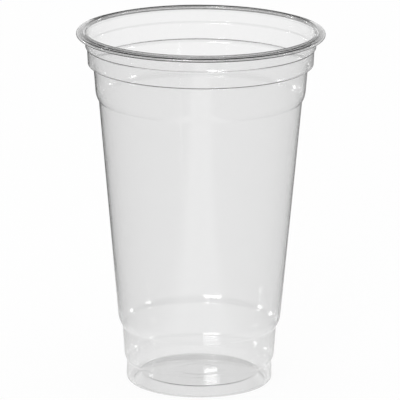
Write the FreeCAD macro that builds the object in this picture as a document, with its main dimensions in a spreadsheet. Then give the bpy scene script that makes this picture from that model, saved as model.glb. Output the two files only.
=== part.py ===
"""A clear plastic cold-drink cup, formed from one sheet: stepped tapering wall, raised base and rolled rim.

Millimetres. +Z is up, the cup stands on Z = 0 and its axis is the Z axis.
"""
import FreeCAD, Part
import math
import os

import Sketcher

Vector = FreeCAD.Vector

# Driving sizes

SIZES = {
    # the sheet, which is drawn thin below the rim
    "wall": 0.3,
    "rim_wall": 0.5,
    # the rolled rim, which takes a press-on lid
    "rim_diameter": 98.0,
    "rim_rise": 2.5,
    "rim_taper": 45.0,
    "roll_width": 3.6,
    "roll_height": 2.25,
    "lip_radius": 0.8,
    "nose_radius": 0.8,
    "curl_gap": 0.5,
    # the neck, a short cylinder under the rim, and the fine step below it
    "neck_height": 4.3,
    "neck_step": 0.7,
    "neck_step_rise": 0.3,
    # the top band, which ends in the stacking ledge
    "top_band_height": 6.9,
    "top_band_draft": 2.8,
    "ledge_width": 2.15,
    "ledge_slope": 5.0,
    "ledge_edge_radius": 0.5,
    # the upper band and the rounded shoulder under it
    "upper_band_height": 14.38,
    "upper_band_draft": 4.64,
    "upper_shoulder_step": 1.31,
    "upper_shoulder_rise": 3.7,
    # the long body
    "body_height": 91.82,
    "body_draft": 5.07,
    "body_shoulder_step": 1.72,
    "body_shoulder_rise": 4.57,
    # the lower band
    "lower_band_height": 14.07,
    "lower_band_draft": 3.85,
    "lower_shoulder_step": 1.03,
    "lower_shoulder_rise": 2.91,
    # the foot, which widens a little downwards to the ring that it stands on
    "foot_height": 8.53,
    "foot_flare": 1.0,
    "foot_corner_radius": 2.0,
    "standing_width": 1.1,
    # the raised base and the low disc at its centre
    "base_lift": 3.2,
    "base_draft": 42.0,
    "base_edge_radius": 1.2,
    "disc_diameter": 19.0,
    "disc_rise": 0.2,
    "disc_draft": 45.0,
}

# Bands with a rounded shoulder under them, from the foot upwards
SHOULDERED_BANDS = ("lower", "body", "upper")


def make_sheet(doc):
    """The spreadsheet that every size is bound to."""
    sheet = doc.addObject("Spreadsheet::Sheet", "sizes")
    for row, (name, value) in enumerate(SIZES.items(), start=1):
        sheet.set(f"A{row}", name)
        sheet.set(f"B{row}", str(value))
        sheet.setAlias(f"B{row}", name)
    doc.recompute()
    return sheet


class Outline:
    """A sketch on the XZ plane, drawn element by element and then bound to the sheet."""

    START, END, CENTRE = range(1, 4)
    HORIZONTAL_AXIS, VERTICAL_AXIS = range(-1, -3, -1)
    ORIGIN = (HORIZONTAL_AXIS, START)

    def __init__(self, body, name):
        planes = {plane.Role: plane for plane in body.Origin.OriginFeatures}
        self.sketch = body.newObject("Sketcher::SketchObject", name)
        self.sketch.AttachmentSupport = [(planes["XZ_Plane"], "")]
        self.sketch.MapMode = "FlatFace"

    def line(self, start, end):
        return self.sketch.addGeometry(Part.LineSegment(Vector(*start, 0), Vector(*end, 0)), False)

    def arc(self, centre, radius, first_angle, last_angle):
        """An anticlockwise arc; angles in degrees."""
        circle = Part.Circle(Vector(*centre, 0), Vector(0, 0, 1), radius)
        angles = math.radians(first_angle), math.radians(last_angle)
        return self.sketch.addGeometry(Part.ArcOfCircle(circle, *angles), False)

    def fix(self, kind, *where):
        """A constraint that carries no size."""
        self.sketch.addConstraint(Sketcher.Constraint(kind, *where))

    def size(self, name, kind, where, value, expression):
        """A constraint whose value follows the sheet."""
        index = self.sketch.addConstraint(Sketcher.Constraint(kind, *where, value))
        self.sketch.renameConstraint(index, name)
        self.sketch.setExpression(f"Constraints.{name}", expression)

    def join(self, first, second):
        """The end of one element meets the start of the next."""
        self.fix("Coincident", first, self.END, second, self.START)

    def lean(self, name, element, angle, expression):
        """The angle of a line to the horizontal, in degrees."""
        self.size(name, "Angle", (element,), math.radians(angle), f"({expression}) * 1 deg")


def tangent_radius(step, rise, draft):
    """Radius of the shoulder arc that leaves a wall leaning by draft smoothly and ends step in, rise down."""
    return (step ** 2 + rise ** 2) / (2 * (step * math.cos(draft) - rise * math.sin(draft)))


def draw_outer_form(body):
    """The outside of the cup as a solid of revolution, from the raised base to the top of the neck."""
    v = SIZES
    form = Outline(body, "outer_outline")
    heights = {"foot": v["foot_height"]}
    heights["lower"] = heights["foot"] + v["lower_band_height"]
    heights["body"] = heights["lower"] + v["body_height"]
    heights["upper"] = heights["body"] + v["upper_band_height"]
    heights["top"] = heights["upper"] + v["top_band_height"]
    heights["neck"] = heights["top"] + v["neck_height"]
    neck_radius = v["rim_diameter"] / 2 - v["roll_width"]

    # neck, drawn upwards like every wall, and the fine step under it
    neck = form.line((neck_radius, heights["top"]), (neck_radius, heights["neck"]))
    form.fix("Vertical", neck)
    form.size("neck_radius", "DistanceX", (*form.ORIGIN, neck, form.START), neck_radius,
              "sizes.rim_diameter / 2 - sizes.roll_width")
    form.size("neck_height", "DistanceY", (neck, form.START, neck, form.END), v["neck_height"],
              "sizes.neck_height")
    band_top = (neck_radius - v["neck_step"], heights["top"] - v["neck_step_rise"])
    step = form.line(band_top, (neck_radius, heights["top"]))
    form.join(step, neck)
    form.size("neck_step", "DistanceX", (step, form.START, step, form.END), v["neck_step"],
              "sizes.neck_step")
    form.size("neck_step_rise", "DistanceY", (step, form.START, step, form.END),
              v["neck_step_rise"], "sizes.neck_step_rise")

    # top band, its rounded lower edge and the stacking ledge
    slope = math.radians(v["ledge_slope"])
    draft = math.radians(v["top_band_draft"])
    edge = v["ledge_edge_radius"]
    band_run = v["top_band_height"] - v["neck_step_rise"] - edge
    band_foot = (band_top[0] - band_run * math.tan(draft), heights["upper"] + edge)
    edge_centre = (band_foot[0] - edge * math.cos(draft), band_foot[1] + edge * math.sin(draft))
    ledge_start = (band_foot[0] - v["ledge_width"], heights["upper"])
    ledge_end = (edge_centre[0] + edge * math.sin(slope), edge_centre[1] - edge * math.cos(slope))
    top_band = form.line(band_foot, band_top)
    form.join(top_band, step)
    form.lean("top_band_draft", top_band, 90 - v["top_band_draft"], "90 - sizes.top_band_draft")
    rounding = form.arc(edge_centre, edge, v["ledge_slope"] - 90, -v["top_band_draft"])
    form.fix("Tangent", rounding, form.END, top_band, form.START)
    form.size("ledge_edge_radius", "Radius", (rounding,), edge, "sizes.ledge_edge_radius")
    ledge = form.line(ledge_start, ledge_end)
    form.fix("Tangent", ledge, form.END, rounding, form.START)
    form.lean("ledge_slope", ledge, v["ledge_slope"], "sizes.ledge_slope")
    form.size("ledge_width", "DistanceX", (ledge, form.START, rounding, form.END),
              v["ledge_width"], "sizes.ledge_width")
    form.size("top_band_height", "DistanceY", (ledge, form.START, neck, form.START),
              v["top_band_height"], "sizes.top_band_height")

    # three bands, each drawn down from the corner above it and ending in a rounded shoulder
    corner, above = ledge_start, ledge
    for band in reversed(SHOULDERED_BANDS):
        prefix = band if band == "body" else f"{band}_band"
        below = {"upper": "body", "body": "lower", "lower": "foot"}[band]
        draft = math.radians(v[f"{prefix}_draft"])
        rise, across = v[f"{band}_shoulder_rise"], v[f"{band}_shoulder_step"]
        wall_foot_z = heights[below] + rise
        wall_foot = (corner[0] - (corner[1] - wall_foot_z) * math.tan(draft), wall_foot_z)
        wall = form.line(wall_foot, corner)
        form.join(wall, above)
        form.lean(f"{prefix}_draft", wall, 90 - v[f"{prefix}_draft"], f"90 - sizes.{prefix}_draft")
        next_corner = (wall_foot[0] - across, heights[below])
        radius = tangent_radius(across, rise, draft)
        centre = (wall_foot[0] - radius * math.cos(draft), wall_foot[1] + radius * math.sin(draft))
        first = math.degrees(math.atan2(next_corner[1] - centre[1], next_corner[0] - centre[0]))
        shoulder = form.arc(centre, radius, first, -v[f"{prefix}_draft"])
        form.fix("Tangent", shoulder, form.END, wall, form.START)
        form.size(f"{band}_shoulder_step", "DistanceX",
                  (shoulder, form.START, shoulder, form.END), across,
                  f"sizes.{band}_shoulder_step")
        form.size(f"{band}_shoulder_rise", "DistanceY",
                  (shoulder, form.START, shoulder, form.END), rise,
                  f"sizes.{band}_shoulder_rise")
        form.size(f"{prefix}_height", "DistanceY", (shoulder, form.START, wall, form.END),
                  v[f"{prefix}_height"], f"sizes.{prefix}_height")
        corner, above = next_corner, shoulder

    # foot, its rounded corner and the flat ring that the cup stands on
    flare = math.radians(v["foot_flare"])
    turn = v["foot_corner_radius"]
    wall_foot = (corner[0] + (v["foot_height"] - turn) * math.tan(flare), turn * (1 + math.sin(flare)))
    foot = form.line(wall_foot, corner)
    form.join(foot, above)
    form.lean("foot_flare", foot, 90 + v["foot_flare"], "90 + sizes.foot_flare")
    turn_centre = (wall_foot[0] - turn * math.cos(flare), turn)
    foot_corner = form.arc(turn_centre, turn, -90, v["foot_flare"])
    form.fix("Tangent", foot_corner, form.END, foot, form.START)
    form.size("foot_corner_radius", "Radius", (foot_corner,), turn, "sizes.foot_corner_radius")
    ring_inside = (turn_centre[0] - v["standing_width"], 0)
    standing_ring = form.line(ring_inside, (turn_centre[0], 0))
    form.fix("Tangent", standing_ring, form.END, foot_corner, form.START)
    form.fix("Horizontal", standing_ring)
    form.fix("PointOnObject", standing_ring, form.START, form.HORIZONTAL_AXIS)
    form.size("standing_width", "DistanceX",
              (standing_ring, form.START, standing_ring, form.END), v["standing_width"],
              "sizes.standing_width")
    form.size("foot_height", "DistanceY", (*form.ORIGIN, foot, form.END), v["foot_height"],
              "sizes.foot_height")

    # recess under the raised base, with a rounded inner edge
    lean = math.radians(v["base_draft"])
    edge = v["base_edge_radius"]
    recess_run = v["base_lift"] - edge * (1 - math.sin(lean))
    recess_top = (ring_inside[0] - recess_run * math.tan(lean), recess_run)
    recess = form.line(ring_inside, recess_top)
    form.fix("Coincident", recess, form.START, standing_ring, form.START)
    form.lean("base_draft", recess, 90 + v["base_draft"], "90 + sizes.base_draft")
    edge_centre = (recess_top[0] - edge * math.cos(lean), recess_top[1] - edge * math.sin(lean))
    base_edge = form.arc(edge_centre, edge, v["base_draft"], 90)
    form.fix("Tangent", base_edge, form.START, recess, form.END)
    form.size("base_edge_radius", "Radius", (base_edge,), edge, "sizes.base_edge_radius")

    # underside of the base, and the low disc at its centre
    disc_radius = v["disc_diameter"] / 2
    disc_run = v["disc_rise"] / math.tan(math.radians(v["disc_draft"]))
    disc_height = v["base_lift"] + v["disc_rise"]
    base = form.line((disc_radius, v["base_lift"]), (edge_centre[0], v["base_lift"]))
    form.fix("Tangent", base, form.END, base_edge, form.END)
    form.fix("Horizontal", base)
    form.size("base_lift", "DistanceY", (*form.ORIGIN, base, form.START), v["base_lift"],
              "sizes.base_lift")
    disc_edge = form.line((disc_radius, v["base_lift"]), (disc_radius - disc_run, disc_height))
    form.fix("Coincident", disc_edge, form.START, base, form.START)
    form.lean("disc_draft", disc_edge, 180 - v["disc_draft"], "180 - sizes.disc_draft")
    form.size("disc_radius", "DistanceX", (*form.ORIGIN, disc_edge, form.START), disc_radius,
              "sizes.disc_diameter / 2")
    form.size("disc_rise", "DistanceY", (disc_edge, form.START, disc_edge, form.END),
              v["disc_rise"], "sizes.disc_rise")
    disc = form.line((0, disc_height), (disc_radius - disc_run, disc_height))
    form.fix("Coincident", disc, form.END, disc_edge, form.END)
    form.fix("Horizontal", disc)
    form.fix("PointOnObject", disc, form.START, form.VERTICAL_AXIS)

    # the axis and the mouth close the outline
    mouth = form.line((neck_radius, heights["neck"]), (0, heights["neck"]))
    form.join(neck, mouth)
    form.fix("Horizontal", mouth)
    form.fix("PointOnObject", mouth, form.END, form.VERTICAL_AXIS)
    axis = form.line((0, heights["neck"]), (0, disc_height))
    form.join(mouth, axis)
    form.fix("Coincident", axis, form.END, disc, form.START)
    return form.sketch


def draw_rolled_rim(body):
    """The sheet's edge rolled outwards and down: a hollow roll that falls towards its nose."""
    v = SIZES
    rim = Outline(body, "rim_outline")
    wall, thick = v["wall"], v["rim_wall"]
    lip_radius, nose_radius = v["lip_radius"], v["nose_radius"]
    mouth_height = sum(v[name] for name in (
        "foot_height", "lower_band_height", "body_height", "upper_band_height",
        "top_band_height", "neck_height"))
    mouth_expression = ("sizes.foot_height + sizes.lower_band_height + sizes.body_height"
                        " + sizes.upper_band_height + sizes.top_band_height + sizes.neck_height")
    neck_radius = v["rim_diameter"] / 2 - v["roll_width"]
    inside_radius = neck_radius - wall
    outside_radius = inside_radius + thick
    taper_top = mouth_height + (thick - wall) * math.tan(math.radians(v["rim_taper"]))
    lip_centre = (inside_radius + lip_radius, mouth_height + v["rim_rise"] - lip_radius)
    under_height = mouth_height + v["rim_rise"] - v["roll_height"]
    nose_centre = (v["rim_diameter"] / 2 - nose_radius, under_height + nose_radius)
    curl_end = outside_radius + v["curl_gap"]

    # direction square to the crown, which touches both rounds
    across, fall = nose_centre[0] - lip_centre[0], lip_centre[1] - nose_centre[1]
    square = (90 - math.degrees(math.atan2(fall, across))
              - math.degrees(math.asin((lip_radius - nose_radius) / math.hypot(across, fall))))
    aside, upwards = math.cos(math.radians(square)), math.sin(math.radians(square))

    def on_round(centre, radius):
        return centre[0] + radius * aside, centre[1] + radius * upwards

    # outer skin, from the drinking side over the top to the curled-in edge
    foot = rim.line((inside_radius, mouth_height), (neck_radius, mouth_height))
    inside = rim.line((inside_radius, mouth_height), (inside_radius, lip_centre[1]))
    lip = rim.arc(lip_centre, lip_radius, square, 180)
    crown = rim.line(on_round(lip_centre, lip_radius), on_round(nose_centre, nose_radius))
    nose = rim.arc(nose_centre, nose_radius, -90, square)
    under = rim.line((curl_end, under_height), (nose_centre[0], under_height))
    # inner skin, one wall further in, and the taper to the thinner neck
    edge = rim.line((curl_end, under_height), (curl_end, under_height + thick))
    under_skin = rim.line((curl_end, under_height + thick), (nose_centre[0], under_height + thick))
    nose_skin = rim.arc(nose_centre, nose_radius - thick, -90, square)
    crown_skin = rim.line(on_round(lip_centre, lip_radius - thick),
                          on_round(nose_centre, nose_radius - thick))
    lip_skin = rim.arc(lip_centre, lip_radius - thick, square, 180)
    outside = rim.line((outside_radius, taper_top), (outside_radius, lip_centre[1]))
    taper = rim.line((neck_radius, mouth_height), (outside_radius, taper_top))

    start, end = rim.START, rim.END
    rim.fix("Coincident", foot, start, inside, start)
    rim.fix("Tangent", inside, end, lip, end)
    rim.fix("Tangent", lip, start, crown, start)
    rim.fix("Tangent", crown, end, nose, end)
    rim.fix("Tangent", nose, start, under, end)
    rim.fix("Coincident", under, start, edge, start)
    rim.fix("Coincident", edge, end, under_skin, start)
    rim.fix("Tangent", under_skin, end, nose_skin, start)
    rim.fix("Tangent", nose_skin, end, crown_skin, end)
    rim.fix("Tangent", crown_skin, start, lip_skin, start)
    rim.fix("Tangent", lip_skin, end, outside, end)
    rim.fix("Coincident", outside, start, taper, end)
    rim.fix("Coincident", taper, start, foot, end)
    rim.fix("Horizontal", foot)
    rim.fix("Vertical", inside)
    rim.fix("Horizontal", under)
    rim.fix("Horizontal", under_skin)
    rim.fix("Vertical", edge)
    rim.fix("Vertical", outside)
    rim.fix("Coincident", nose_skin, rim.CENTRE, nose, rim.CENTRE)
    rim.fix("Coincident", lip_skin, rim.CENTRE, lip, rim.CENTRE)

    rim.size("mouth_height", "DistanceY", (*rim.ORIGIN, foot, start), mouth_height, mouth_expression)
    rim.size("neck_radius", "DistanceX", (*rim.ORIGIN, foot, end), neck_radius,
             "sizes.rim_diameter / 2 - sizes.roll_width")
    rim.size("wall", "DistanceX", (foot, start, foot, end), wall, "sizes.wall")
    rim.size("rim_wall", "DistanceX", (foot, start, outside, start), thick, "sizes.rim_wall")
    rim.size("edge_wall", "DistanceY", (edge, start, edge, end), thick, "sizes.rim_wall")
    rim.lean("rim_taper", taper, v["rim_taper"], "sizes.rim_taper")
    rim.size("lip_radius", "Radius", (lip,), lip_radius, "sizes.lip_radius")
    rim.size("nose_radius", "Radius", (nose,), nose_radius, "sizes.nose_radius")
    rim.size("lip_rise", "DistanceY", (foot, start, lip, rim.CENTRE), lip_centre[1] - mouth_height,
             "sizes.rim_rise - sizes.lip_radius")
    rim.size("nose_drop", "DistanceY", (nose, rim.CENTRE, lip, rim.CENTRE), fall,
             "sizes.roll_height - sizes.lip_radius - sizes.nose_radius")
    rim.size("roll_width", "DistanceX", (foot, end, nose, rim.CENTRE), nose_centre[0] - neck_radius,
             "sizes.roll_width - sizes.nose_radius")
    rim.size("curl_gap", "DistanceX", (outside, start, edge, start), v["curl_gap"], "sizes.curl_gap")
    return rim.sketch


def revolve(body, sketch, name):
    turned = body.newObject("PartDesign::Revolution", name)
    turned.Profile = sketch
    turned.ReferenceAxis = (sketch, ["V_Axis"])
    turned.Angle = 360.0
    body.Document.recompute()
    return turned


def mouth_face(shape):
    """Name of the flat face at the top of a shape."""
    flat = [number for number, face in enumerate(shape.Faces, start=1)
            if isinstance(face.Surface, Part.Plane)]
    return f"Face{max(flat, key=lambda number: shape.Faces[number - 1].CenterOfMass.z)}"


def make_cup(doc):
    body = doc.addObject("PartDesign::Body", "cup")
    body.Label = "cup"
    outer_form = revolve(body, draw_outer_form(body), "outer_form")

    # one wall thickness all over, open at the mouth
    shell = body.newObject("PartDesign::Thickness", "thin_wall")
    shell.Base = (outer_form, [mouth_face(outer_form.Shape)])
    shell.setExpression("Value", "sizes.wall")
    shell.Reversed = True
    shell.Join = "Intersection"
    doc.recompute()

    body.Tip = revolve(body, draw_rolled_rim(body), "rolled_rim")
    doc.recompute()
    return body


def check(doc, bodies):
    for item in doc.Objects:
        faults = {"Invalid", "Error"} & set(item.State)
        if faults:
            raise RuntimeError(f"{item.Name} failed: {sorted(faults)}")
    for body in bodies:
        shape = body.Shape
        if shape.isNull() or not shape.isValid() or len(shape.Solids) != 1:
            raise RuntimeError(f"{body.Label} is not one valid solid")
        box = shape.optimalBoundingBox(False)
        print(f"{body.Label}: {len(shape.Faces)} faces, {shape.Volume:.0f} cubic mm,"
              f" {box.XLength:.2f} x {box.YLength:.2f} x {box.ZLength:.2f}")


def main():
    doc = FreeCAD.newDocument("drink_cup")
    make_sheet(doc)
    bodies = [make_cup(doc)]
    doc.recompute()
    check(doc, bodies)
    os.makedirs("parts", exist_ok=True)
    for body in bodies:
        body.Shape.exportStep(os.path.join("parts", f"{body.Label}.step"))


main()
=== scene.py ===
# %% [markdown]
# # A clear plastic cold-drink cup
#
# The real cup is one sheet of clear PET, heated and drawn into a mould. Its wall steps inwards
# at a stacking ledge and at three rounded shoulders, its base is pushed up, and its edge is
# rolled outwards into a rim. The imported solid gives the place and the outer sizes. Here the
# same section is spun again with many more steps, because a clear wall shows every facet that
# light passes through.

# %% Load the fixed frame
import math

import bmesh
import bpy
import numpy as np
from mathutils import Matrix, Vector


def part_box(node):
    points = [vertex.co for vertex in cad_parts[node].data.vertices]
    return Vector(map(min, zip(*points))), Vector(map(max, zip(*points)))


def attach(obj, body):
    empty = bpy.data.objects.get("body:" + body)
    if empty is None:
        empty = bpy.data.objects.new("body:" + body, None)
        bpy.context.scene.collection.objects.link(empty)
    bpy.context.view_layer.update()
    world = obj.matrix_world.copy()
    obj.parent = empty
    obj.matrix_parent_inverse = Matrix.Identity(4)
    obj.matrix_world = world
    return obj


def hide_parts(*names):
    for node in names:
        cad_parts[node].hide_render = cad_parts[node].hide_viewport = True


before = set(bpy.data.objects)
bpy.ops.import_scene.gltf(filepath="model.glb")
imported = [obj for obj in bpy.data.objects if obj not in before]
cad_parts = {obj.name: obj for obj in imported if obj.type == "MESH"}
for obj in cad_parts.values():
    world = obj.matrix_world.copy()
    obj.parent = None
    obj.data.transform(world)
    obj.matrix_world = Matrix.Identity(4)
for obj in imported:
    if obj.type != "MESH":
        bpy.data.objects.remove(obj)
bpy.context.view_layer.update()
cup_low, cup_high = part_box("cup")
MM = 0.001
print("frame box in mm", [round(c / MM, 2) for c in (*cup_low, *cup_high)])

# %% [markdown]
# ## The camera
#
# The photograph was taken from far away with a long lens: the ellipses of the rim and of the
# base are almost equally open. The camera's height angle, distance and focal length were found
# by fitting the cup's rings to the picture. It aims a little above the middle of the cup, and
# it is turned by under half a degree, as the photograph is.

# %% Camera
CAMERA_ELEVATION = math.radians(14.53)
CAMERA_DISTANCE = 2.000
CAMERA_LENS = 454.5
CAMERA_ROLL = math.radians(0.3)
CAMERA_REACH = 20.0
AIM_HEIGHT = 73.4 * MM

away = Vector((0.0, -math.cos(CAMERA_ELEVATION), math.sin(CAMERA_ELEVATION)))
camera_data = bpy.data.cameras.new("camera")
camera_data.lens = CAMERA_LENS
camera_data.clip_end = CAMERA_REACH
camera = bpy.data.objects.new("camera", camera_data)
bpy.context.scene.collection.objects.link(camera)
camera.rotation_mode = "QUATERNION"
facing = (-away).to_track_quat("-Z", "Y").to_matrix()
camera.rotation_quaternion = (facing @ Matrix.Rotation(CAMERA_ROLL, 3, "Z")).to_quaternion()
camera.location = Vector((0.0, 0.0, AIM_HEIGHT)) + away * CAMERA_DISTANCE
bpy.context.scene.camera = camera
print("camera at", [round(c, 3) for c in camera.location])

# %% [markdown]
# ## A pen for the section
#
# The cup is a body of revolution, so one open line, its section, holds the whole shape. The
# line is the sheet's outer face, walked from the curled edge over the rim and down the wall to
# the middle of the base. It could be typed in as a list of points, but then no size could be
# changed. So a small pen draws it with two operators: an extruded vertex makes a straight run,
# and a vertex spun about a centre makes an arc. Corners are rounded last, with a vertex bevel,
# because their small radii are what the light catches as thin lines. The pen also notes how
# thick the sheet is at some places on its way.


# %% Section pen
class SectionPen:
    """Draws a line in the XZ plane, vertex by vertex, in millimetres."""

    def __init__(self, radius, height):
        self.mesh = bmesh.new()
        self.tip = self.mesh.verts.new((radius * MM, 0.0, height * MM))
        self.corners = []
        self.walls = []

    @property
    def place(self):
        return self.tip.co.x / MM, self.tip.co.z / MM

    def note_wall(self, wall):
        """The sheet's thickness at the tip; between two notes it changes evenly."""
        self.walls.append((self.tip.co.copy(), wall * MM))

    def run_to(self, radius, height, corner=0.0):
        """A straight run; corner is the radius that rounds its start."""
        if corner:
            self.corners.append((self.tip, corner))
        made = bmesh.ops.extrude_vert_indiv(self.mesh, verts=[self.tip])
        self.tip = made["verts"][0]
        self.tip.co = (radius * MM, 0.0, height * MM)

    def run_down(self, drop, inward, corner=0.0):
        radius, height = self.place
        self.run_to(radius - inward, height - drop, corner)

    def turn(self, centre, degrees, steps):
        """An arc about a centre; positive degrees go from +X towards +Z."""
        made = bmesh.ops.spin(
            self.mesh, geom=[self.tip], cent=(centre[0] * MM, 0.0, centre[1] * MM),
            axis=(0.0, -1.0, 0.0), dvec=(0.0, 0.0, 0.0), angle=math.radians(degrees),
            steps=steps, use_duplicate=False, use_merge=False)
        self.tip = next(item for item in made["geom_last"] if isinstance(item, bmesh.types.BMVert))

    def round_corners(self, segments):
        for vertex, radius in self.corners:
            before, after = (edge.other_vert(vertex).co - vertex.co for edge in vertex.link_edges)
            half_turn = (math.pi - before.angle(after)) / 2
            bmesh.ops.bevel(
                self.mesh, geom=[vertex], affect="VERTICES", offset_type="OFFSET",
                offset=radius * MM * math.tan(half_turn), segments=segments, profile=0.5,
                material=-1)


# %% [markdown]
# ## The rolled rim
#
# The edge of the sheet is curled outwards and under while it is hot. That stiffens the mouth,
# hides the cut edge and gives the lid something to grip. The sheet is drawn least here, so it
# stays thicker than in the wall. The pen starts at the thin cut edge, hidden under the crown,
# turns round the small inner curl and the nose, and comes over the crown and the lip down into
# the mouth, where the sheet thins to the thickness of the wall. The crown is the line that
# touches both the nose's round and the lip's round, so its slope is worked out from them.

# %% Sheet and rim
WALL = 0.3
RIM_WALL = 0.5
EDGE_WALL = 0.25
RIM_RADIUS = 49.0
HEIGHT = 142.5
ROLL_WIDTH = 3.6
ROLL_HEIGHT = 2.25
LIP_ROUND = 0.8
NOSE_ROUND = 0.8
CURL_GAP = 0.5
CURL_ROUND = 0.35
CURL_RUN = 0.25
MOUTH_HEIGHT = 140.0
CURL_STEPS = 12
LIP_STEPS = 8

neck_radius = RIM_RADIUS - ROLL_WIDTH
inside_radius = neck_radius - WALL
lip_centre = Vector((inside_radius + LIP_ROUND, HEIGHT - LIP_ROUND))
nose_centre = Vector((RIM_RADIUS - NOSE_ROUND, HEIGHT - ROLL_HEIGHT + NOSE_ROUND))
between = nose_centre - lip_centre
crown_slope = (math.atan2(-between.y, between.x)
               + math.asin((LIP_ROUND - NOSE_ROUND) / between.length))
crown_normal = Vector((math.sin(crown_slope), math.cos(crown_slope)))
crown_outward = Vector((crown_normal.y, -crown_normal.x))
curl_centre = Vector((inside_radius + RIM_WALL + CURL_GAP + EDGE_WALL + CURL_ROUND,
                      nose_centre.y - NOSE_ROUND + RIM_WALL + CURL_ROUND))
curl_top = curl_centre + crown_normal * CURL_ROUND

pen = SectionPen(*(curl_top + CURL_RUN * crown_outward))
pen.note_wall(EDGE_WALL)
pen.run_to(*curl_top)
pen.turn(curl_centre, 180 - math.degrees(crown_slope), CURL_STEPS)
pen.note_wall(EDGE_WALL)
pen.run_to(nose_centre.x, nose_centre.y - NOSE_ROUND + RIM_WALL)
pen.note_wall(RIM_WALL)
pen.turn(nose_centre, 180 - math.degrees(crown_slope), CURL_STEPS)
pen.run_to(*(lip_centre + crown_normal * (LIP_ROUND - RIM_WALL)))
pen.turn(lip_centre, 90 + math.degrees(crown_slope), LIP_STEPS)
pen.run_to(inside_radius + RIM_WALL, MOUTH_HEIGHT)
pen.note_wall(RIM_WALL)
pen.run_to(neck_radius, MOUTH_HEIGHT - RIM_WALL + WALL)
pen.note_wall(WALL)
print("neck radius", round(pen.place[0], 3), "at height", round(pen.place[1], 3))

# %% [markdown]
# ## Neck, top band and stacking ledge
#
# Under the roll is a short straight neck, set off by a fine step. The band below it ends in a
# flat ledge: when cups are stacked, the ledge of one rests on the next, so that they don't jam.
# The ledge is almost level, with a small round at its outer edge.

# %% Neck, top band and ledge
NECK_HEIGHT = 4.1
NECK_STEP = 0.7
NECK_STEP_RISE = 0.6
STEP_TOP_ROUND = 0.3
STEP_FOOT_ROUND = 0.5
TOP_BAND_HEIGHT = 7.1
TOP_BAND_DRAFT = math.radians(2.8)
LEDGE_WIDTH = 2.15
LEDGE_SLOPE = math.radians(5.0)
LEDGE_EDGE = 0.5
LEDGE_STEPS = 8

neck_foot = MOUTH_HEIGHT - NECK_HEIGHT
ledge_height = neck_foot - TOP_BAND_HEIGHT
band_run = TOP_BAND_HEIGHT - NECK_STEP_RISE - LEDGE_EDGE
pen.run_to(neck_radius, neck_foot)
pen.run_to(neck_radius - NECK_STEP, neck_foot - NECK_STEP_RISE, corner=STEP_TOP_ROUND)
pen.run_down(band_run, band_run * math.tan(TOP_BAND_DRAFT), corner=STEP_FOOT_ROUND)
band_foot = pen.place
edge_centre = (band_foot[0] - LEDGE_EDGE * math.cos(TOP_BAND_DRAFT),
               band_foot[1] + LEDGE_EDGE * math.sin(TOP_BAND_DRAFT))
pen.turn(edge_centre, math.degrees(TOP_BAND_DRAFT + LEDGE_SLOPE) - 90, LEDGE_STEPS)
pen.run_to(band_foot[0] - LEDGE_WIDTH, ledge_height)
print("ledge at height", round(pen.place[1], 3), "radius", round(pen.place[0], 3))

# %% [markdown]
# ## The bands and their shoulders
#
# Below the ledge the wall tapers in three stretches: an upper band, the long body and a lower
# band. Each ends in a shoulder, an arc that leaves the wall smoothly and meets the next wall in
# a small corner. The arc's radius follows from how far it steps in and how far it falls, so a
# change of either keeps the smooth start.

# %% Bands and shoulders
BANDS = {
    # name: corner above it, height with its shoulder, draft in degrees, shoulder's step and rise
    "upper band": (1.2, 14.38, 4.64, 1.31, 3.7),
    "body": (0.6, 91.82, 5.07, 1.72, 4.57),
    "lower band": (1.2, 14.07, 3.85, 1.03, 2.91),
}
SHOULDER_STEPS = 8

for name, (corner, height, degrees, step, rise) in BANDS.items():
    draft = math.radians(degrees)
    pen.run_down(height - rise, (height - rise) * math.tan(draft), corner=corner)
    radius = (step ** 2 + rise ** 2) / (2 * (step * math.cos(draft) - rise * math.sin(draft)))
    start = Vector(pen.place)
    centre = start + radius * Vector((-math.cos(draft), math.sin(draft)))
    end = start - Vector((step, rise))
    swept = math.degrees((start - centre).angle(end - centre))
    pen.turn(centre, -swept, SHOULDER_STEPS)
    print(name, "ends at radius", round(pen.place[0], 2), "height", round(pen.place[1], 2))

# %% [markdown]
# ## Foot and raised base
#
# The foot widens a little towards the table. It turns under in a small corner to the flat ring
# that the cup stands on, and the base rises inside it, which keeps the middle off the table. A
# low disc with soft edges marks the centre.

# %% Foot and base
FOOT_FLARE = math.radians(1.0)
FOOT_TOP_ROUND = 1.0
FOOT_CORNER = 2.0
FOOT_STEPS = 12
STANDING_WIDTH = 1.1
RECESS_ROUND = 0.35
BASE_LIFT = 3.2
BASE_DRAFT = math.radians(42.0)
BASE_EDGE = 1.2
BASE_STEPS = 10
DISC_RADIUS = 9.5
DISC_RISE = 0.12
DISC_SLOPE_RUN = 1.5
DISC_ROUND = 1.5
CORNER_SEGMENTS = 3

foot_top = pen.place
corner_top = FOOT_CORNER * (1 + math.sin(FOOT_FLARE))
foot_radius = foot_top[0] + (foot_top[1] - corner_top) * math.tan(FOOT_FLARE)
pen.run_to(foot_radius, corner_top, corner=FOOT_TOP_ROUND)
corner_centre = (pen.place[0] - FOOT_CORNER * math.cos(FOOT_FLARE), FOOT_CORNER)
pen.turn(corner_centre, -90 - math.degrees(FOOT_FLARE), FOOT_STEPS)
pen.run_down(0.0, STANDING_WIDTH)
recess_height = BASE_LIFT - BASE_EDGE * (1 - math.sin(BASE_DRAFT))
pen.run_down(-recess_height, recess_height * math.tan(BASE_DRAFT), corner=RECESS_ROUND)
turn_centre = (pen.place[0] - BASE_EDGE * math.cos(BASE_DRAFT),
               pen.place[1] - BASE_EDGE * math.sin(BASE_DRAFT))
pen.turn(turn_centre, 90 - math.degrees(BASE_DRAFT), BASE_STEPS)
pen.run_to(DISC_RADIUS, BASE_LIFT)
pen.run_to(DISC_RADIUS - DISC_SLOPE_RUN, BASE_LIFT + DISC_RISE, corner=DISC_ROUND)
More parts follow.
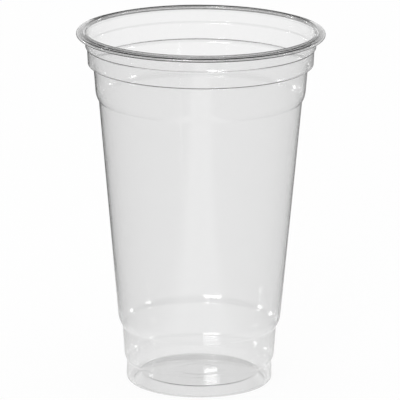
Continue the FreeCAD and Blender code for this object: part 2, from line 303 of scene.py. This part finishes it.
pen.run_to(0.0, BASE_LIFT + DISC_RISE, corner=DISC_ROUND)
pen.round_corners(CORNER_SEGMENTS)
print("foot radius", round(foot_radius, 2), "section points", len(pen.mesh.verts))

# %% [markdown]
# ## The sheet's other face
#
# A Solidify modifier gives a sheet one thickness, but this one is thick in the rim and thin in
# the wall. So the second face is drawn as a second line, beside the first. Each of its points
# lies the sheet's thickness to the side, towards the drink, and the thickness is read off
# between the pen's notes by the length of the line up to there. At a corner the point goes a
# little further out, so that both faces stay parallel. The two lines are joined at the cut
# edge, and both end on the axis.

# %% Second face
MITRE_LIMIT = 0.5


def walk_line(mesh):
    """The vertices of an open line in order, from its outer free end to the axis."""
    ends = [vertex for vertex in mesh.verts if len(vertex.link_edges) == 1]
    here = max(ends, key=lambda vertex: vertex.co.x)
    order, used = [here], set()
    while True:
        ahead = [edge for edge in here.link_edges if edge not in used]
        if not ahead:
            return order
        used.add(ahead[0])
        here = ahead[0].other_vert(here)
        order.append(here)


def thickness_along(spots, steps, walls):
    """The sheet's thickness at each spot, from the places where the pen noted it."""
    lengths = np.cumsum([0.0] + [step.length for step in steps])
    stations = [min(range(len(spots)), key=lambda number: (spots[number] - place).length)
                for place, wall in walls]
    return np.interp(lengths, lengths[stations], [wall for place, wall in walls])


def add_second_face(mesh, walls):
    line = walk_line(mesh)
    spots = [vertex.co.copy() for vertex in line]
    steps = [after - before for before, after in zip(spots, spots[1:])]
    thickness = thickness_along(spots, steps, walls)
    face = []
    for number, spot in enumerate(spots):
        arriving = steps[max(number - 1, 0)].normalized()
        leaving = steps[min(number, len(steps) - 1)].normalized()
        across = (arriving + leaving).normalized()
        normal = Vector((across.z, 0.0, -across.x))
        spread = max(across.dot(leaving), MITRE_LIMIT)
        face.append(mesh.verts.new(spot + normal * thickness[number] / spread))
    face[-1].co.x = 0.0
    mesh.edges.new((line[0], face[0]))
    for one, other in zip(face, face[1:]):
        mesh.edges.new((one, other))


cup_mesh = pen.mesh
add_second_face(cup_mesh, pen.walls)
print("points with both faces", len(cup_mesh.verts))

# %% [markdown]
# ## From the line to the cup
#
# The line is spun through a full turn with its seam merged. The vertices that meet on the axis
# are merged to one at each pole, and then the normals are recalculated. The result is one
# closed skin round the plastic, which the light needs to find its way in and out. Many steps
# keep the reflections smooth. The long flat faces lie right beside the tiny corner faces, so
# plain smooth shading would bend their normals, and light would be lost in them. Normals
# weighted by the faces' area keep the long faces true.

# %% Spin
STEPS_ROUND = 256
MERGE_DISTANCE = 0.001 * MM
AREA_WEIGHT = 100

bmesh.ops.spin(cup_mesh, geom=cup_mesh.verts[:] + cup_mesh.edges[:], cent=(0.0, 0.0, 0.0),
               axis=(0.0, 0.0, 1.0), dvec=(0.0, 0.0, 0.0), angle=math.tau, steps=STEPS_ROUND,
               use_merge=True, use_duplicate=False)
bmesh.ops.remove_doubles(cup_mesh, verts=cup_mesh.verts, dist=MERGE_DISTANCE)
bmesh.ops.recalc_face_normals(cup_mesh, faces=cup_mesh.faces)
open_edges = sum(1 for edge in cup_mesh.edges if not edge.is_manifold)
print("cup volume in cubic mm", round(cup_mesh.calc_volume(signed=True) / MM ** 3),
      "open edges", open_edges, "faces", len(cup_mesh.faces))

mesh = bpy.data.meshes.new("clear_cup")
cup_mesh.to_mesh(mesh)
cup_mesh.free()
mesh.shade_smooth()
cup = bpy.data.objects.new("clear_cup", mesh)
bpy.context.scene.collection.objects.link(cup)
weighted = cup.modifiers.new("weighted_normals", "WEIGHTED_NORMAL")
weighted.mode = "FACE_AREA"
weighted.weight = AREA_WEIGHT
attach(cup, "root")
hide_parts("cup")

# %% [markdown]
# ## Clear plastic
#
# PET bends light a little more than window glass does. It also takes a little of the light,
# which shows where the light runs along the sheet, as in the rim and at the edges of the wall:
# a volume that absorbs evenly gives that, and a tinted surface wouldn't. The formed face isn't
# quite as sharp as glass, so reflections have soft edges. Drawing the sheet leaves it slightly
# uneven: long faint streaks run down the wall, and a bump from stretched noise gives them.

# %% Clear plastic
PET_INDEX = 1.57
PET_ROUGHNESS = 0.06
PET_GREY = (0.5, 0.5, 0.5, 1.0)
PET_DENSITY = 650.0
STREAK_STRETCH = (60.0, 60.0, 6.0)
STREAK_SCALE = 3.0
STREAK_DETAIL = 3.0
STREAK_STRENGTH = 0.05
STREAK_DEPTH = 0.2 * MM


def clear_plastic():
    material = bpy.data.materials.new("clear_plastic")
    material.use_nodes = True
    nodes, links = material.node_tree.nodes, material.node_tree.links
    shader = nodes["Principled BSDF"]
    shader.inputs["Base Color"].default_value = (1.0, 1.0, 1.0, 1.0)
    shader.inputs["Transmission Weight"].default_value = 1.0
    shader.inputs["IOR"].default_value = PET_INDEX
    shader.inputs["Roughness"].default_value = PET_ROUGHNESS
    soak = nodes.new("ShaderNodeVolumeAbsorption")
    soak.inputs["Color"].default_value = PET_GREY
    soak.inputs["Density"].default_value = PET_DENSITY
    links.new(soak.outputs["Volume"], nodes["Material Output"].inputs["Volume"])
    place = nodes.new("ShaderNodeTexCoord")
    stretch = nodes.new("ShaderNodeMapping")
    stretch.inputs["Scale"].default_value = STREAK_STRETCH
    streaks = nodes.new("ShaderNodeTexNoise")
    streaks.inputs["Scale"].default_value = STREAK_SCALE
    streaks.inputs["Detail"].default_value = STREAK_DETAIL
    bump = nodes.new("ShaderNodeBump")
    bump.inputs["Strength"].default_value = STREAK_STRENGTH
    bump.inputs["Distance"].default_value = STREAK_DEPTH
    links.new(place.outputs["Object"], stretch.inputs["Vector"])
    links.new(stretch.outputs["Vector"], streaks.inputs["Vector"])
    links.new(streaks.outputs["Fac"], bump.inputs["Height"])
    links.new(bump.outputs["Normal"], shader.inputs["Normal"])
    return material


mesh.materials.append(clear_plastic())
print("plastic index", PET_INDEX, "density", PET_DENSITY)

# %% [markdown]
# ## The white floor
#
# The cup stands on white paper that runs out of the picture. What the camera sees of it,
# straight, through the cup or mirrored in it, gets a light of its own from the Light Path node,
# so that it reads as paper white without more light on the cup. A small share of plain paper
# stays in the mix, and that share takes the cup's soft shadow. The disc is a helper of its own,
# because the disc below that paints dark reflections on the cup uses one too.

# %% Floor
FLOOR_RADIUS = 6.0
FLOOR_SIDES = 96
PAPER_WHITE = (0.9, 0.9, 0.9, 1.0)
GLOW_SHARE = 0.94


def seen_by_eye(nodes, links):
    """Over zero for rays that carry what the camera sees, straight, mirrored or through."""
    path = nodes.new("ShaderNodeLightPath")
    straight_or_through = nodes.new("ShaderNodeMath")
    straight_or_through.operation = "ADD"
    or_mirrored = nodes.new("ShaderNodeMath")
    or_mirrored.operation = "ADD"
    links.new(path.outputs["Is Camera Ray"], straight_or_through.inputs[0])
    links.new(path.outputs["Is Transmission Ray"], straight_or_through.inputs[1])
    links.new(straight_or_through.outputs[0], or_mirrored.inputs[0])
    links.new(path.outputs["Is Glossy Ray"], or_mirrored.inputs[1])
    return or_mirrored.outputs[0]


def floor_paper():
    material = bpy.data.materials.new("floor_paper")
    material.use_nodes = True
    nodes, links = material.node_tree.nodes, material.node_tree.links
    nodes.clear()
    output = nodes.new("ShaderNodeOutputMaterial")
    paper = nodes.new("ShaderNodeBsdfDiffuse")
    paper.inputs["Color"].default_value = PAPER_WHITE
    glow = nodes.new("ShaderNodeEmission")
    mix = nodes.new("ShaderNodeMixShader")
    share = nodes.new("ShaderNodeMath")
    share.operation = "MULTIPLY"
    share.inputs[1].default_value = GLOW_SHARE
    share.use_clamp = True
    links.new(seen_by_eye(nodes, links), share.inputs[0])
    links.new(share.outputs[0], mix.inputs["Fac"])
    links.new(paper.outputs[0], mix.inputs[1])
    links.new(glow.outputs[0], mix.inputs[2])
    links.new(mix.outputs[0], output.inputs["Surface"])
    return material


def stage_disc(name, material):
    disc_mesh = bmesh.new()
    bmesh.ops.create_circle(disc_mesh, cap_ends=True, radius=FLOOR_RADIUS, segments=FLOOR_SIDES)
    data = bpy.data.meshes.new(name)
    disc_mesh.to_mesh(data)
    disc_mesh.free()
    data.materials.append(material)
    disc = bpy.data.objects.new(name, data)
    bpy.context.scene.collection.objects.link(disc)
    return disc


floor = stage_disc("floor", floor_paper())
print("floor radius in m", FLOOR_RADIUS)

# %% [markdown]
# ## The room
#
# A clear cup has no colour of its own to show: it looks like what stands round it. Here the
# room is a white wall, low down all round, that turns to a dark ceiling higher up. The dark
# ceiling gives the rim its grey line and takes the glare off the wall. What lights the cup and
# the floor is an even grey, so that the shadow stays soft.

# %% Room
ROOM_GREY = 0.85
CEILING_GREY = 0.08
WALL_TOP = 0.16
CEILING_EDGE = 0.5


def room_light():
    world = bpy.data.worlds.new("room")
    world.use_nodes = True
    nodes, links = world.node_tree.nodes, world.node_tree.links
    background = nodes["Background"]
    background.inputs["Color"].default_value = (1.0, 1.0, 1.0, 1.0)
    place = nodes.new("ShaderNodeTexCoord")
    split = nodes.new("ShaderNodeSeparateXYZ")
    wall = nodes.new("ShaderNodeMapRange")
    wall.interpolation_type = "SMOOTHSTEP"
    wall.inputs["From Min"].default_value = WALL_TOP
    wall.inputs["From Max"].default_value = CEILING_EDGE
    wall.inputs["To Min"].default_value = 1.0
    wall.inputs["To Max"].default_value = CEILING_GREY
    tone = nodes.new("ShaderNodeMix")
    tone.inputs["A"].default_value = ROOM_GREY
    links.new(place.outputs["Generated"], split.inputs[0])
    links.new(split.outputs["Z"], wall.inputs["Value"])
    links.new(seen_by_eye(nodes, links), tone.inputs["Factor"])
    links.new(wall.outputs["Result"], tone.inputs["B"])
    links.new(tone.outputs["Result"], background.inputs["Strength"])
    return world


bpy.context.scene.world = room_light()
print("ceiling dark above", round(math.degrees(math.asin(CEILING_EDGE)), 1), "degrees")

# %% [markdown]
# ## The dark table
# On white paper alone, the sides of a clear cup would vanish. Photographers stand something
# dark at both sides of a glass, just out of the picture, so that the edges mirror it. Here that
# is painted reflection: a disc just over the floor that fades in towards the left and the right
# of the cup, a little darker at the left. Only glossy rays see it, so it paints dark reflections
# on the cup's sides and never shows in the picture itself, and it takes no light from the cup.

# %% Disc of painted dark reflections
DARK_FROM = 0.035
DARK_TO = 0.10
GREY_REACH = 0.1
LEFT_GREY = 0.05
RIGHT_GREY = 0.25
REFLECTION_DISC_LIFT = 0.05 * MM


# Painted reflection: a grey, darker at the left, that only the cup's reflections show.
def painted_reflection_tone():
    material = bpy.data.materials.new("painted_reflection_disc")
    material.use_nodes = True
    nodes, links = material.node_tree.nodes, material.node_tree.links
    shader = nodes["Principled BSDF"]
    shader.inputs["Roughness"].default_value = 1.0
    shader.inputs["Specular IOR Level"].default_value = 0.0
    place = nodes.new("ShaderNodeTexCoord")
    split = nodes.new("ShaderNodeSeparateXYZ")
    grey = nodes.new("ShaderNodeMapRange")
    grey.inputs["From Min"].default_value = -GREY_REACH
    grey.inputs["From Max"].default_value = GREY_REACH
    grey.inputs["To Min"].default_value = LEFT_GREY
    grey.inputs["To Max"].default_value = RIGHT_GREY
    aside = nodes.new("ShaderNodeMath")
    aside.operation = "ABSOLUTE"
    cover = nodes.new("ShaderNodeMapRange")
    cover.interpolation_type = "SMOOTHSTEP"
    cover.inputs["From Min"].default_value = DARK_FROM
    cover.inputs["From Max"].default_value = DARK_TO
    links.new(place.outputs["Object"], split.inputs[0])
    links.new(split.outputs["X"], grey.inputs["Value"])
    links.new(split.outputs["X"], aside.inputs[0])
    links.new(aside.outputs[0], cover.inputs["Value"])
    links.new(grey.outputs["Result"], shader.inputs["Base Color"])
    links.new(cover.outputs["Result"], shader.inputs["Alpha"])
    return material


# This disc paints dark reflections on the cup's sides; the camera never sees it.
reflection_disc = stage_disc("painted_reflection_disc", painted_reflection_tone())
reflection_disc.location.z = REFLECTION_DISC_LIFT
reflection_disc.visible_camera = False
reflection_disc.visible_diffuse = False
reflection_disc.visible_transmission = False
reflection_disc.visible_shadow = False
print("dark table from", DARK_FROM, "to", DARK_TO, "m at both sides")

# %% [markdown]
# ## The lamps
#
# One softbox hangs in front of the cup, high and a little to the left. It gives the short
# bright lines on the back of the lower shoulders and the pale strip in the base. A real
# softbox is brighter in its middle than at its cloth edges, so it is built as three lamps, one
# behind the other, each smaller than the one in front. Two small lamps at each side give the
# bright spots low on the wall.

# %% Lamps
LAMP_AIM = Vector((0.0, 0.0, 70 * MM))
SOFTBOX_PLACE = (-20.0, 22.0)
SOFTBOX_SIZE = (0.72, 0.38)
SOFTBOX_POWER = 4.6
SOFTBOX_LAYERS = {
    # name: share of the full size, distance in metres
    "softbox_edge": (1.0, 1.60),
    "softbox_middle": (0.75, 1.61),
    "softbox_core": (0.5, 1.62),
}
SPOT_SIZE = 0.18
SPOT_DISTANCE = 1.5
SPOTS = {
    # name: azimuth and elevation in degrees, power in watts
    "right_lamp": (84.0, 19.0, 1.0),
    "right_back_lamp": (123.0, 12.0, 0.6),
    "left_lamp": (-104.0, 17.0, 1.2),
    "left_back_lamp": (-133.0, 9.0, 0.8),
}


def add_lamp(name, azimuth, elevation, distance, width, height, power):
    """A rectangular lamp that faces the cup. Azimuth 0 is in front, 90 at the right."""
    data = bpy.data.lights.new(name, "AREA")
    data.shape = "RECTANGLE"
    data.size, data.size_y = width, height
    data.energy = power
    lamp = bpy.data.objects.new(name, data)
    turn, lift = math.radians(azimuth), math.radians(elevation)
    out = Vector((math.sin(turn) * math.cos(lift), -math.cos(turn) * math.cos(lift),
                  math.sin(lift)))
    lamp.location = LAMP_AIM + out * distance
    lamp.rotation_mode = "QUATERNION"
    lamp.rotation_quaternion = out.to_track_quat("Z", "Y")
    bpy.context.scene.collection.objects.link(lamp)


for name, (share, distance) in SOFTBOX_LAYERS.items():
    width, height = (side * share for side in SOFTBOX_SIZE)
    add_lamp(name, *SOFTBOX_PLACE, distance, width, height, SOFTBOX_POWER * share ** 2)
for name, (azimuth, elevation, power) in SPOTS.items():
    add_lamp(name, azimuth, elevation, SPOT_DISTANCE, SPOT_SIZE, SPOT_SIZE, power)
print("lamps", len(bpy.data.lights))

# %% [markdown]
# ## The view transform, and the end
#
# The view transform is Standard, so that a tone renders as it is written.

# %% View transform and finish
bpy.context.scene.view_settings.view_transform = "Standard"
